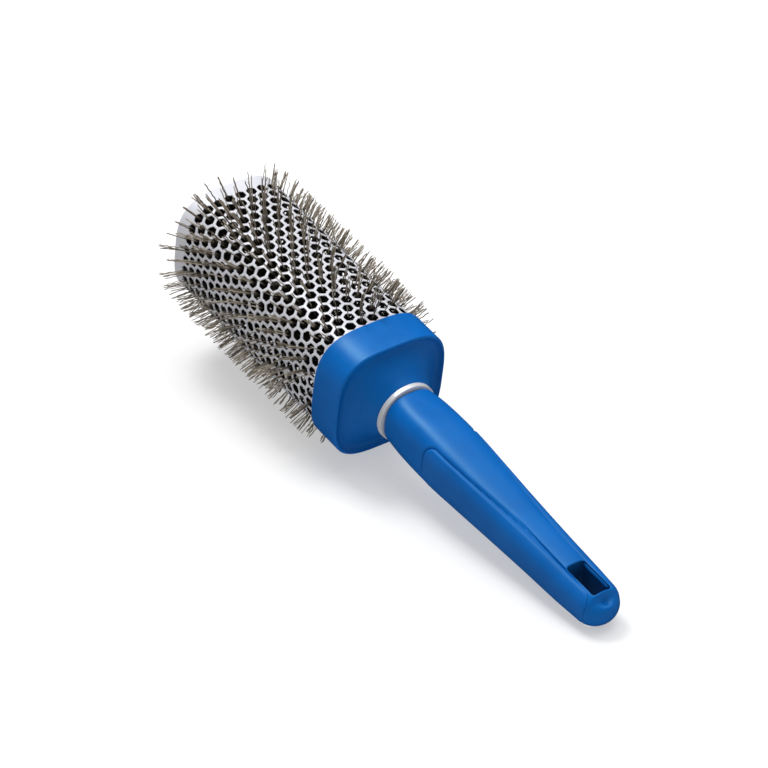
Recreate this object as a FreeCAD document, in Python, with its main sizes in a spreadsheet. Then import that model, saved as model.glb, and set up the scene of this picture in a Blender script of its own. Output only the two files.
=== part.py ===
import FreeCAD, Part
import math
import os
import Sketcher

# A large round thermal hair brush. Everything is drawn in the brush's own frame: +X runs from the
# handle to the free end of the barrel, x = 0 is the root of the collar, and +Z is the side that
# carries the hanging slot. One common placement then lays the finished brush on its tail and its
# first ring of bristles, with the origin at the bottom centre of its box.

DIMENSIONS = [
    ("overall_radius", 36.5, "bristle tips, from the brush's axis"),
    ("barrel_half", 25.7, "barrel, half across its flats"),
    ("barrel_corner", 17.2, "barrel, outer corner radius"),
    ("barrel_wall", 1.2, "thickness of the barrel's sheet"),
    ("barrel_start", 18.1, "hidden end of the barrel, inside the collar"),
    ("barrel_end", 130.8, "free end of the barrel"),
    ("hole_radius", 2.5, "hexagonal hole, centre to vertex"),
    ("hole_count", 32, "holes round one ring"),
    ("ring_count", 20, "rings of holes"),
    ("ring_start", 29.5, "first ring of holes"),
    ("ring_pitch", 4.87, "from ring to ring"),
    ("collar_half", 26.9, "collar, half across its flats"),
    ("collar_corner", 17.6, "collar, outer corner radius"),
    ("collar_edge", 9.2, "handle-side edge of the collar's band"),
    ("collar_end", 26.1, "barrel-side edge of the collar's band"),
    ("collar_round", 1.3, "rounding of the handle-side edge"),
    ("dish_half", 25.3, "mouth of the dished face, half across"),
    ("dish_corner", 16.0, "mouth of the dished face, corner radius"),
    ("dish_depth", 1.2, "depth of the dished face"),
    ("dish_draft", 1.2, "spread of the dish's side in front of its mouth"),
    ("floor_half", 22.0, "floor of the dished face, half across"),
    ("floor_corner", 18.0, "floor of the dished face, corner radius"),
    ("flare_half", 16.0, "middle of the collar's flare, half across"),
    ("flare_corner", 14.5, "middle of the collar's flare, corner radius"),
    ("flare_x", 4.0, "middle of the collar's flare"),
    ("root_half", 13.3, "collar where it meets the ring"),
    ("root_corner", 13.0, "collar where it meets the ring, corner radius"),
    ("root_x", -0.4, "collar where it meets the ring"),
    ("ring_radius", 13.6, "metal ring, outside"),
    ("ring_width", 2.6, "metal ring, along the axis"),
    ("ring_round", 0.5, "metal ring, rounding of its edges"),
    ("spigot_radius", 8.5, "handle spigot inside the ring and collar"),
    ("spigot_end", 17.8, "end of the handle spigot"),
    ("clearance", 0.1, "running clearance between moulded pieces"),
    ("overlap", 1.0, "how far a cut or a joined piece runs past the face that it meets"),
    ("neck_x", -3.4, "shoulder of the handle behind the ring"),
    ("tail_x", -127.7, "centre of the rounded tail"),
    ("tail_radius", 9.4, "rounded tail"),
    ("panel_depth", 2.0, "thickness of the grip panels"),
    ("panel_groove", 0.45, "groove round each grip panel"),
    ("panel_front", -30.5, "front of the grip panels"),
    ("panel_back", -131.0, "back of the grip panels"),
    ("panel_front_half", 9.9, "half height of a panel at its front"),
    ("panel_back_half", 6.9, "half height of a panel at its back"),
    ("spine_half", 5.4, "strip between the panels, half its least width"),
    ("panel_round", 4.5, "corner radius of the grip panels"),
    ("slot_start", -113.0, "hanging slot, end towards the barrel"),
    ("slot_length", 17.4, "hanging slot, along the handle"),
    ("slot_half", 4.5, "hanging slot, half its width"),
    ("slot_corner", 1.6, "hanging slot, corner radius"),
    ("scoop_radius", 9.0, "thumb scoop in the tail"),
    ("scoop_x", -137.0, "thumb scoop, centre along the handle"),
    ("scoop_z", 14.0, "thumb scoop, centre above the axis"),
    ("plug_end", 26.0, "end of the plug under the barrel"),
    ("plug_bore", 5.0, "bore of the plug and of the cap's boss"),
    ("ferrule_start", 18.3, "hidden end of the ferrule"),
    ("ferrule_end", 26.4, "end of the ferrule on the wires"),
    ("wire_radius", 1.05, "one strand of the twisted core"),
    ("twist_radius", 1.08, "strand centre, from the axis"),
    ("twist_pitch", 15.0, "one turn of the twisted core"),
    ("wire_start", 18.6, "hidden end of the core wires"),
    ("wire_length", 109.0, "length of the twisted core"),
    ("wire_bore", 2.35, "passage for the core wires"),
    ("cap_start", 124.6, "inner edge of the end cap's skirt"),
    ("cap_floor", 127.9, "inner face of the end cap"),
    ("cap_skirt", 2.0, "thickness of the end cap's skirt"),
    ("boss_radius", 7.5, "boss inside the end cap"),
    ("bush_start", 123.6, "inner end of the end bush"),
    ("hub_radius", 4.4, "hub that holds one ring of bristles"),
    ("hub_width", 2.6, "hub, along the axis"),
    ("arms_per_ring", 32, "bristle bunches in one ring, one for each hole"),
    ("arm_bite", 0.3, "how far a bunch is sunk in its hub"),
    ("arm_root", 0.4, "bristle bunch, radius at the hub"),
    ("arm_tip", 0.45, "bristle bunch, radius at the tip"),
]

# Stations of the handle: name, x, half width, height above the axis, depth below it, corner radius.
HANDLE_STATIONS = [
    ("neck", -3.4, 12.1, 12.1, 12.1, 9.9),
    ("shoulder", -12.0, 12.5, 12.5, 12.5, 9.7),
    ("swell", -25.0, 13.0, 13.0, 13.0, 9.6),
    ("belly", -36.0, 13.1, 12.7, 13.0, 9.6),
    ("grip", -52.0, 12.5, 11.7, 12.4, 9.4),
    ("middle", -72.0, 11.7, 10.3, 11.5, 9.0),
    ("taper", -95.0, 10.8, 9.0, 10.4, 8.7),
    ("hang", -115.0, 10.1, 8.4, 9.8, 8.2),
    ("tail", -127.7, 9.6, 8.6, 9.5, 8.3),
]

# The box that holds each grip panel: its side, and its two limits across the brush.
SIDES = (
    ("left", "sizes.spine_half", "sizes.overall_radius"),
    ("right", "0 - sizes.overall_radius", "0 - sizes.spine_half"),
)
TINY = 0.01             # two lengths this close are the same
LONG = 10.0             # an edge right through the handle is longer than this

doc = FreeCAD.newDocument("round_barrel_brush")
sizes = doc.addObject("Spreadsheet::Sheet", "sizes")


def fill_sheet():
    """Put every driving dimension in its own named cell."""
    rows = list(DIMENSIONS)
    for name, x, half_width, above, below, corner in HANDLE_STATIONS:
        rows.append((name + "_station_x", x, "handle station, place"))
        rows.append((name + "_half_width", half_width, "handle station, half width"))
        rows.append((name + "_above", above, "handle station, height above the axis"))
        rows.append((name + "_below", below, "handle station, depth below the axis"))
        rows.append((name + "_corner", corner, "handle station, corner radius"))
    for row, (name, value, meaning) in enumerate(rows, 1):
        sizes.set("A%d" % row, name)
        sizes.set("B%d" % row, str(value))
        sizes.setAlias("B%d" % row, name)
        sizes.set("C%d" % row, meaning)
    doc.recompute()


def size(name):
    return float(sizes.get(name))


def origin_plane(body, role):
    """The body's own origin plane, such as YZ_Plane."""
    for feature in body.Origin.OriginFeatures:
        if feature.Role == role:
            return feature
    raise ValueError(role)


def new_body(name):
    return doc.addObject("PartDesign::Body", name)


def new_sketch(body, name, role):
    sketch = body.newObject("Sketcher::SketchObject", name)
    sketch.AttachmentSupport = [(origin_plane(body, role), "")]
    sketch.MapMode = "FlatFace"
    return sketch


def constrain(sketch, name, constraint, expression):
    """Add one named dimension and bind it to the sheet."""
    index = sketch.addConstraint(constraint)
    sketch.renameConstraint(index, name)
    sketch.setExpression("Constraints." + name, expression)


def value_of(expression):
    """The present value of cell names and numbers joined by + and -."""
    total, sign = 0.0, 1
    for word in expression.split():
        if word in "+-":
            sign = 1 if word == "+" else -1
        else:
            total += sign * (size(word) if word[0].isalpha() else float(word))
    return total


def bind(names):
    """Write cell names as expressions that point at the sheet."""
    words = names.split()
    return " ".join("sizes." + w if w[0].isalpha() else w for w in words)


def rounded_section(body, name, x, right, above, below, corner):
    """A rounded rectangle across the axis; its sides stay symmetric in y."""
    sketch = new_sketch(body, name, "YZ_Plane")
    sketch.AttachmentOffset.Base.z = 0
    sketch.setExpression("AttachmentOffset.Base.z", bind(x))
    r, t, b, c = (value_of(e) for e in (right, above, below, corner))
    point = FreeCAD.Vector
    lines = [
        (point(r - c, -b, 0), point(-r + c, -b, 0)),
        (point(-r, -b + c, 0), point(-r, t - c, 0)),
        (point(-r + c, t, 0), point(r - c, t, 0)),
        (point(r, t - c, 0), point(r, -b + c, 0)),
    ]
    centres = [(-r + c, -b + c, 180), (-r + c, t - c, 90), (r - c, t - c, 0), (r - c, -b + c, 270)]
    normal = point(0, 0, 1)
    for start, end in lines:
        sketch.addGeometry(Part.LineSegment(start, end))
    for cx, cy, angle in centres:
        circle = Part.Circle(point(cx, cy, 0), normal, c)
        first, last = math.radians(angle), math.radians(angle + 90)
        sketch.addGeometry(Part.ArcOfCircle(circle, first, last))
    for i in range(4):
        arc = 4 + i
        sketch.addConstraint(Sketcher.Constraint("Tangent", i, 2, arc, 2))
        sketch.addConstraint(Sketcher.Constraint("Tangent", arc, 1, (i + 1) % 4, 1))
    for i, direction in enumerate(("Horizontal", "Vertical", "Horizontal", "Vertical")):
        sketch.addConstraint(Sketcher.Constraint(direction, i))
    for i in range(3):
        sketch.addConstraint(Sketcher.Constraint("Equal", 4, 5 + i))
    constrain(sketch, "corner", Sketcher.Constraint("Radius", 4, c), bind(corner))
    constrain(sketch, "half_right", Sketcher.Constraint("DistanceX", -1, 1, 3, 1, r), bind(right))
    constrain(sketch, "half_left", Sketcher.Constraint("DistanceX", 1, 1, -1, 1, r), bind(right))
    constrain(sketch, "above", Sketcher.Constraint("DistanceY", -1, 1, 2, 1, t), bind(above))
    constrain(sketch, "below", Sketcher.Constraint("DistanceY", 0, 1, -1, 1, b), bind(below))
    return sketch


def lofted(name, stations):
    """A body lofted along the axis through rounded sections."""
    body = new_body(name)
    sketches = []
    for i, station in enumerate(stations):
        sketches.append(rounded_section(body, "%s_section_%d" % (name, i + 1), *station))
    loft = body.newObject("PartDesign::AdditiveLoft", name + "_loft")
    loft.Profile = sketches[0]
    loft.Sections = sketches[1:]
    body.Tip = loft
    return body


def square(x, half, corner):
    """The station of a section that reaches as far above and below the axis as to its sides."""
    return x, half, half, half, corner


def prism(name, start, end, half, corner):
    """A straight rounded-square prism along the axis."""
    body = new_body(name)
    sketch = rounded_section(body, name + "_section", *square(start, half, corner))
    pad = body.newObject("PartDesign::Pad", name + "_pad")
    pad.Profile = sketch
    pad.setExpression("Length", bind(end) + " - (" + bind(start) + ")")
    body.Tip = pad
    return body


def cylinder(name, start, end, radius):
    """A cylinder along the axis from start to end."""
    rod = doc.addObject("Part::Cylinder", name)
    rod.Placement = FreeCAD.Placement(FreeCAD.Vector(), FreeCAD.Rotation(FreeCAD.Vector(0, 1, 0), 90))
    rod.setExpression("Placement.Base.x", bind(start))
    rod.setExpression("Height", bind(end) + " - (" + bind(start) + ")")
    rod.setExpression("Radius", bind(radius))
    return rod


def cut(name, base, tool):
    result = doc.addObject("Part::Cut", name)
    result.Base = base
    result.Tool = tool
    return result


def common(name, base, tool):
    result = doc.addObject("Part::Common", name)
    result.Base = base
    result.Tool = tool
    return result


def fuse(name, *pieces):
    result = doc.addObject("Part::MultiFuse", name)
    result.Shapes = list(pieces)
    return result


def fillet_edges(name, base, radius_name, wanted):
    """Round the edges of base that wanted() picks."""
    doc.recompute()
    rounded = doc.addObject("Part::Fillet", name)
    rounded.Base = base
    radius = size(radius_name)
    edges = enumerate(base.Shape.Edges, 1)
    rounded.Edges = [(i, radius, radius) for i, edge in edges if wanted(edge)]
    return rounded


def along_y(edge):
    box = edge.BoundBox
    return box.YLength > LONG and box.XLength < TINY and box.ZLength < TINY


def handle_blank(name, inset=""):
    """The whole handle's skin, or a copy of it that lies inset below it."""
    stations = []
    for word, *_ in HANDLE_STATIONS:
        stations.append((
            word + "_station_x",
            word + "_half_width" + inset,
            word + "_above" + inset,
            word + "_below" + inset,
            word + "_corner" + inset,
        ))
    return lofted(name, stations)


def panel_outline(name, margin):
    """A slab through the handle with the side panels' outline, grown by margin."""
    body = new_body(name)
    sketch = new_sketch(body, name + "_outline", "XZ_Plane")
    front = value_of("panel_front + " + margin)
    back = value_of("panel_back - " + margin)
    front_half = value_of("panel_front_half + " + margin)
    back_half = value_of("panel_back_half + " + margin)
    corners = [(front, -front_half), (front, front_half), (back, back_half), (back, -back_half)]
    for i in range(4):
        start, end = corners[i], corners[(i + 1) % 4]
        sketch.addGeometry(Part.LineSegment(FreeCAD.Vector(*start, 0), FreeCAD.Vector(*end, 0)))
    for i in range(4):
        sketch.addConstraint(Sketcher.Constraint("Coincident", i, 2, (i + 1) % 4, 1))
    sketch.addConstraint(Sketcher.Constraint("Vertical", 0))
    sketch.addConstraint(Sketcher.Constraint("Vertical", 2))
    fit = Sketcher.Constraint
    constrain(sketch, "front", fit("DistanceX", 0, 1, -1, 1, -front), bind("0 - panel_front - " + margin))
    constrain(sketch, "back", fit("DistanceX", 2, 1, -1, 1, -back), bind("0 - panel_back + " + margin))
    front_bound = bind("panel_front_half + " + margin)
    back_bound = bind("panel_back_half + " + margin)
    constrain(sketch, "front_top", fit("DistanceY", -1, 1, 0, 2, front_half), front_bound)
    constrain(sketch, "front_bottom", fit("DistanceY", 0, 1, -1, 1, front_half), front_bound)
    constrain(sketch, "back_top", fit("DistanceY", -1, 1, 2, 1, back_half), back_bound)
    constrain(sketch, "back_bottom", fit("DistanceY", 2, 2, -1, 1, back_half), back_bound)
    pad = body.newObject("PartDesign::Pad", name + "_pad")
    pad.Profile = sketch
    pad.Midplane = True
    pad.setExpression("Length", "4 * sizes.belly_half_width")
    body.Tip = pad
    return fillet_edges(name + "_rounded", body, "panel_round", along_y)


def slot_cutter():
    """The hanging slot, cut right through the handle."""
    body = new_body("slot_cutter")
    sketch = new_sketch(body, "slot_outline", "XY_Plane")
    x2 = size("slot_start")
    x1 = x2 - size("slot_length")
    half = size("slot_half")
    corners = [(x1, -half), (x2, -half), (x2, half), (x1, half)]
    for i in range(4):
        start, end = corners[i], corners[(i + 1) % 4]
        sketch.addGeometry(Part.LineSegment(FreeCAD.Vector(*start, 0), FreeCAD.Vector(*end, 0)))
    for i in range(4):
        sketch.addConstraint(Sketcher.Constraint("Coincident", i, 2, (i + 1) % 4, 1))
    for i, direction in enumerate(("Horizontal", "Vertical", "Horizontal", "Vertical")):
        sketch.addConstraint(Sketcher.Constraint(direction, i))
    fit = Sketcher.Constraint
    constrain(sketch, "start", fit("DistanceX", 1, 1, -1, 1, -x2), "0 - sizes.slot_start")
    constrain(sketch, "length", fit("DistanceX", 0, 1, 1, 1, x2 - x1), "sizes.slot_length")
    constrain(sketch, "upper", fit("DistanceY", -1, 1, 2, 1, half), "sizes.slot_half")
    constrain(sketch, "lower", fit("DistanceY", 0, 1, -1, 1, half), "sizes.slot_half")
    pad = body.newObject("PartDesign::Pad", "slot_pad")
    pad.Profile = sketch
    pad.Midplane = True
    pad.setExpression("Length", "4 * sizes.belly_half_width")
    body.Tip = pad

    def upright(edge):
        box = edge.BoundBox
        return box.ZLength > LONG and box.XLength < TINY and box.YLength < TINY

    return fillet_edges("slot_rounded", body, "slot_corner", upright)


def long_box(name, low_y, high_y):
    """A box as long and as tall as the brush, between two places across it."""
    box = doc.addObject("Part::Box", name)
    box.setExpression("Length", "sizes.barrel_end - sizes.tail_x")
    box.setExpression("Width", high_y + " - (" + low_y + ")")
    box.setExpression("Height", "2 * sizes.overall_radius")
    box.setExpression("Placement.Base.x", "sizes.tail_x - 2 * sizes.tail_radius")
    box.setExpression("Placement.Base.y", low_y)
    box.setExpression("Placement.Base.z", "0 - sizes.overall_radius")
    return box


def make_handle():
    """The moulded handle with its spigot, slot and scoop, and the two soft panels let into it."""
    blank = handle_blank("handle_blank")
    core = handle_blank("handle_core", " - panel_depth")
    panel_slab = panel_outline("panel_slab", "0")
    seat_slab = panel_outline("seat_slab", "panel_groove")

    tail = doc.addObject("Part::Sphere", "tail_ball")
    tail.setExpression("Radius", "sizes.tail_radius")
    tail.setExpression("Placement.Base.x", "sizes.tail_x")
    spigot = cylinder("handle_spigot", "neck_x - overlap", "spigot_end", "spigot_radius")
    scoop = doc.addObject("Part::Sphere", "scoop_ball")
    scoop.setExpression("Radius", "sizes.scoop_radius")
    scoop.setExpression("Placement.Base.x", "sizes.scoop_x")
    scoop.setExpression("Placement.Base.z", "sizes.scoop_z")
    slot = slot_cutter()

    spine_edge = "sizes.spine_half - sizes.panel_groove"
    spine = long_box("spine", "0 - (" + spine_edge + ")", spine_edge)
    seat = cut("panel_seat", cut("seat_skin", common("seat_band", blank, seat_slab), core), spine)
    body = cut("seated_handle", blank, seat)
    whole = fuse("whole_handle", body, tail, spigot)
    scooped = cut("scooped_handle", whole, scoop)
    handle = cut("handle_body", scooped, slot)

    skin = cut("panel_pair", common("panel_skin", blank, panel_slab), core)
    panels = []
    for side, low_y, high_y in SIDES:
        panels.append(common(side + "_grip_panel", skin, long_box(side + "_half", low_y, high_y)))
    return [handle] + panels


def make_ring():
    """The bright metal ring between the handle and the collar."""
    start, end = "root_x - ring_width", "root_x"
    disc = cylinder("ring_disc", start, end, "ring_radius")
    bore = cylinder("ring_bore", start + " - overlap", end + " + overlap", "spigot_radius + clearance")
    radius = size("ring_radius")

    def outer(edge):
        return edge.Curve.TypeId == "Part::GeomCircle" and abs(edge.Curve.Radius - radius) < TINY

    return cut("neck_ring", fillet_edges("ring_rounded", disc, "ring_round", outer), bore)


def make_collar():
    """The collar: a straight band, a dished face and a flare that comes down to the ring."""
    band = prism("collar_band", "collar_edge", "collar_end", "collar_half", "collar_corner")
    edge_x = size("collar_edge")

    def rim(edge):
        box = edge.BoundBox
        return box.XLength < TINY and abs(box.XMin - edge_x) < TINY

    rounded = fillet_edges("collar_rounded", band, "collar_round", rim)
    floor = square("collar_edge + dish_depth", "floor_half", "floor_corner")
    dish = lofted("collar_dish", [
        square("collar_edge - dish_depth", "dish_half + dish_draft", "dish_corner + dish_draft"),
        square("collar_edge", "dish_half", "dish_corner"),
        floor,
    ])
    flare = lofted("collar_flare", [
        square("root_x", "root_half", "root_corner"),
        square("flare_x", "flare_half", "flare_corner"),
        floor,
    ])
    dished = cut("collar_dished", rounded, dish)
    solid = fuse("collar_solid", dished, flare)
    recess = prism("collar_recess", "barrel_start", "collar_end + overlap", "barrel_half + clearance",
                   "barrel_corner + clearance")
    bore = cylinder("collar_bore", "root_x - overlap", "barrel_start + overlap", "spigot_radius + clearance")
    return cut("barrel_collar", cut("collar_recessed", solid, recess), bore)


def make_plug():
    """The plug that fills the barrel's mouth and holds the ferrule of the core wires."""
    block = prism("plug_block", "barrel_start", "plug_end", "barrel_half - barrel_wall - clearance",
                  "barrel_corner - barrel_wall - clearance")
    hole = cylinder("plug_hole", "barrel_start - overlap", "plug_end + overlap", "plug_bore")
    return cut("barrel_plug", block, hole)


def arc_position(distance, half, corner):
    """Point and outward normal at a distance round a rounded square, from the middle of +Y."""
    straight = half - corner
    bend = math.pi / 2 * corner
    quarter = 2 * straight + bend
    turns, along = divmod(distance, quarter)
    if along < straight:
        point, normal = (half, along), 0.0
    elif along < straight + bend:
        normal = (along - straight) / corner
        point = (straight + corner * math.cos(normal), straight + corner * math.sin(normal))
    else:
        point, normal = (quarter - along, half), math.pi / 2
    angle = turns * math.pi / 2
    y = point[0] * math.cos(angle) - point[1] * math.sin(angle)
    z = point[0] * math.sin(angle) + point[1] * math.cos(angle)
    return y, z, normal + angle


def hole_prisms():
    """Every hexagonal hole as a prism square to the wall; odd rings are shifted by half a hole."""
    half, corner = size("barrel_half"), size("barrel_corner")
    count = int(size("hole_count"))
    pitch = (8 * (half - corner) + 2 * math.pi * corner) / count
    depth = 2 * size("barrel_wall")
    radius = size("hole_radius")
    along = FreeCAD.Vector(1, 0, 0)
    prisms = []
    for ring in range(1, int(size("ring_count")) + 1):
        x = size("ring_start") + (ring - 1) * size("ring_pitch")
        for hole in range(count):
            y, z, angle = arc_position((hole + 0.5 * (ring % 2)) * pitch, half, corner)
            outward = FreeCAD.Vector(0, math.cos(angle), math.sin(angle))
            across = outward.cross(along)
            centre = FreeCAD.Vector(x, y, z) - outward * depth
            corners = []
            for i in range(7):
                turn = math.radians(60 * i)
                corners.append(centre + (along * math.cos(turn) + across * math.sin(turn)) * radius)
            face = Part.Face(Part.makePolygon(corners))
            prisms.append(face.extrude(outward * depth * 2))
    holes = doc.addObject("Part::Feature", "hole_prisms")
    holes.Shape = Part.makeCompound(prisms)
    return holes


def make_barrel():
    """The perforated sheet-metal barrel."""
    half, corner = "barrel_half - barrel_wall", "barrel_corner - barrel_wall"
    outside = prism("barrel_outside", "barrel_start", "barrel_end", "barrel_half", "barrel_corner")
    inside = prism("barrel_inside", "barrel_start - overlap", "barrel_end + overlap", half, corner)
    return cut("barrel", cut("barrel_tube", outside, inside), hole_prisms())


def make_cap():
    """The cap in the free end, with a skirt, and the bush that it holds on the core wires."""
    half, corner = "barrel_half - barrel_wall - clearance", "barrel_corner - barrel_wall - clearance"
    block = prism("cap_block", "cap_start", "barrel_end", half, corner)
    inner_half, inner_corner = half + " - cap_skirt", corner + " - cap_skirt"
    hollow = prism("cap_hollow", "cap_start - overlap", "cap_floor", inner_half, inner_corner)
    boss = cylinder("cap_boss", "cap_start", "cap_floor + overlap", "boss_radius")
    bore = cylinder("cap_bore", "cap_start - overlap", "cap_floor", "plug_bore")
    cap = cut("end_cap", fuse("cap_with_boss", cut("cap_shell", block, hollow), boss), bore)
    return [cap, sleeve("end_bush", "bush_start", "cap_floor")]


def sleeve(name, start, end):
    """A sleeve that fits a bore and is bored for the core wires."""
    outside = cylinder(name + "_outside", start, end, "plug_bore - clearance / 2")
    bore = cylinder(name + "_bore", start + " - overlap", end + " + overlap", "wire_bore")
    return cut(name, outside, bore)


def make_wire(name, start_angle):
    """One strand of the twisted core, swept along its own helix."""
    helix = doc.addObject("Part::Helix", name + "_path")
    helix.setExpression("Pitch", "sizes.twist_pitch")
    helix.setExpression("Height", "sizes.wire_length")
    helix.setExpression("Radius", "sizes.twist_radius")
    circle = doc.addObject("Part::Circle", name + "_section")
    circle.setExpression("Radius", "sizes.wire_radius")
    # The helix starts along +Y and up, so its section leans back from level by the lead.
    lead = math.degrees(math.atan2(2 * math.pi * size("twist_radius"), size("twist_pitch")))
    across = FreeCAD.Rotation(FreeCAD.Vector(1, 0, 0), 0 - lead)
    circle.Placement = FreeCAD.Placement(FreeCAD.Vector(size("twist_radius"), 0, 0), across)
    strand = doc.addObject("Part::Sweep", name)
    strand.Sections = [circle]
    strand.Spine = (helix, ["Edge1"])
    strand.Solid = True
    strand.Frenet = True
    along_x = FreeCAD.Rotation(FreeCAD.Vector(0, 1, 0), 90)
    spin = FreeCAD.Rotation(FreeCAD.Vector(0, 0, 1), start_angle)
    start = FreeCAD.Vector(size("wire_start"), 0, 0)
    return strand, FreeCAD.Placement(start, along_x.multiply(spin))


def make_fan(number):
    """One ring of bristle bunches on its hub, drawn about its own centre."""
    name = "bristle_fan_%02d" % number
    body = new_body(name)
    hub_sketch = new_sketch(body, name + "_hub_outline", "YZ_Plane")
    hub_rings = (("hub", "hub_radius"), ("bore", "wire_bore"))
    for i, (word, cell) in enumerate(hub_rings):
        circle = Part.Circle(FreeCAD.Vector(), FreeCAD.Vector(0, 0, 1), size(cell))
        hub_sketch.addGeometry(circle)
        hub_sketch.addConstraint(Sketcher.Constraint("Coincident", i, 3, -1, 1))
        constrain(hub_sketch, word, Sketcher.Constraint("Radius", i, size(cell)), "sizes." + cell)
    hub = body.newObject("PartDesign::Pad", name + "_hub")
    hub.Profile = hub_sketch
    hub.Midplane = True
    hub.setExpression("Length", "sizes.hub_width")

    arm_sketch = new_sketch(body, name + "_arm_outline", "XZ_Plane")
    root, tip = size("arm_root"), size("arm_tip")
    inner, outer = size("hub_radius") - size("arm_bite"), size("overall_radius")
    corners = [(0, inner), (root, inner), (tip, outer), (0, outer)]
    for i in range(4):
        start, end = corners[i], corners[(i + 1) % 4]
        arm_sketch.addGeometry(Part.LineSegment(FreeCAD.Vector(*start, 0), FreeCAD.Vector(*end, 0)))
    fit = Sketcher.Constraint
    for i in range(4):
        arm_sketch.addConstraint(fit("Coincident", i, 2, (i + 1) % 4, 1))
    arm_sketch.addConstraint(fit("Horizontal", 0))
    arm_sketch.addConstraint(fit("Horizontal", 2))
    arm_sketch.addConstraint(fit("PointOnObject", 0, 1, -2))
    arm_sketch.addConstraint(fit("PointOnObject", 3, 1, -2))
    constrain(arm_sketch, "root", fit("DistanceX", 0, 1, 0, 2, root), "sizes.arm_root")
    constrain(arm_sketch, "tip", fit("DistanceX", 3, 1, 2, 1, tip), "sizes.arm_tip")
    inner_bound = "sizes.hub_radius - sizes.arm_bite"
    constrain(arm_sketch, "inner", fit("DistanceY", -1, 1, 0, 1, inner), inner_bound)
    constrain(arm_sketch, "outer", fit("DistanceY", -1, 1, 3, 1, outer), "sizes.overall_radius")
    arm = body.newObject("PartDesign::Revolution", name + "_arm")
    arm.Profile = arm_sketch
    arm.ReferenceAxis = (arm_sketch, ["V_Axis"])
    arm.Angle = 360
    ring = body.newObject("PartDesign::PolarPattern", name + "_ring")
    ring.Originals = [arm]
    axis = [f for f in body.Origin.OriginFeatures if f.Role == "X_Axis"][0]
    ring.Axis = (axis, [""])
    ring.Angle = 360
    ring.setExpression("Occurrences", "sizes.arms_per_ring")
    body.Tip = ring
    place = FreeCAD.Vector(size("ring_start") + (number - 1) * size("ring_pitch"), 0, 0)
    # Each ring is half a bunch on from the last, so every bunch has its own hole. The first ring
    # stands on two bunches, one each side of straight down.
    half_step = 180 / size("arms_per_ring")
    spin = FreeCAD.Rotation(FreeCAD.Vector(1, 0, 0), half_step * number)
    return body, FreeCAD.Placement(place, spin)


def rest_placement():
    """Tilt and lift the brush so that its tail and its first ring of bunches lie on z = 0."""
    half_step = math.pi / size("arms_per_ring")
    reach = size("ring_start") - size("tail_x")
    drop = size("overall_radius") * math.cos(half_step) + size("arm_tip") * math.sin(half_step)
    tilt = math.atan2(drop, reach) - math.asin(size("tail_radius") / math.hypot(reach, drop))
    rear = size("tail_x") * math.cos(tilt) - size("tail_radius")
    front = size("barrel_end") * math.cos(tilt) + size("barrel_half") * math.sin(tilt)
    lift = size("tail_radius") - size("tail_x") * math.sin(tilt)
    shift = FreeCAD.Vector(-(rear + front) / 2, 0, lift)
    print("tilt %.4f shift %.4f lift %.4f" % (math.degrees(tilt), shift.x, shift.z))
    return FreeCAD.Placement(shift, FreeCAD.Rotation(FreeCAD.Vector(0, -1, 0), math.degrees(tilt)))


def place_pieces(pieces):
    """Label every piece with its own name and lay it at rest with all the others."""
    rest = rest_placement()
    for piece, own in pieces:
        piece.Label = piece.Name
        piece.Placement = rest.multiply(own)


def check(pieces):
    """Stop if any object failed or any piece isn't one valid solid."""
    for thing in doc.Objects:
        if "Invalid" in thing.State or "Error" in thing.State:
            raise RuntimeError("%s failed" % thing.Name)
    for piece, own in pieces:
        shape = piece.Shape
        if shape.isNull() or not shape.isValid() or len(shape.Solids) != 1:
            raise RuntimeError("%s is not one valid solid" % piece.Name)
        print("%-18s volume %10.1f faces %5d" % (piece.Name, shape.Volume, len(shape.Faces)))


def main():
    fill_sheet()
    still = FreeCAD.Placement()
    pieces = [(piece, still) for piece in make_handle()]
    pieces.append((make_ring(), still))
    pieces.append((make_collar(), still))
    pieces.append((make_plug(), still))
    pieces.append((make_barrel(), still))
    pieces.extend((piece, still) for piece in make_cap())
    pieces.append((sleeve("wire_ferrule", "ferrule_start", "ferrule_end"), still))
    pieces.append(make_wire("core_wire_a", 0))
    pieces.append(make_wire("core_wire_b", 180))
    for number in range(1, int(size("ring_count")) + 1):
        pieces.append(make_fan(number))
    place_pieces(pieces)
    doc.recompute()
    check(pieces)
    os.makedirs("parts", exist_ok=True)
    for piece, own in pieces:
        piece.Shape.exportStep(os.path.join("parts", piece.Label + ".step"))


main()
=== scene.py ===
import math
import random
import bmesh
import bpy
import numpy as np
from mathutils import Matrix, Vector


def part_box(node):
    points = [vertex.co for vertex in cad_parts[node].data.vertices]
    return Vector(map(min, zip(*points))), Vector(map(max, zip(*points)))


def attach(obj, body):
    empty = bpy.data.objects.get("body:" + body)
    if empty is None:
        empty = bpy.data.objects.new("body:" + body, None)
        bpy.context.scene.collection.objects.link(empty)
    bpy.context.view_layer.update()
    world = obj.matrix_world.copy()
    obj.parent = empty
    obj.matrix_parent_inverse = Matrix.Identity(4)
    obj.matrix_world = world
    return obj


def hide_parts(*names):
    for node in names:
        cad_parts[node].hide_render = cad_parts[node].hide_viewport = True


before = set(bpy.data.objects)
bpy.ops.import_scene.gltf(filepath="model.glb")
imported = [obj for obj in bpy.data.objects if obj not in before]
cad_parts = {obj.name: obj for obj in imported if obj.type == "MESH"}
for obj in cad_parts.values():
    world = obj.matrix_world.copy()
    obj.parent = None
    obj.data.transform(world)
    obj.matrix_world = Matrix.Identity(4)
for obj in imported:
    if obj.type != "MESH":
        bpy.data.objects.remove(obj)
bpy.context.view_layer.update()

# Lengths are in millimetres in the brush's own frame: +X runs from the handle to the free end of
# the barrel, x = 0 is the collar's root and +Z is the side with the thumb scoop.
MM = 0.001

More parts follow.
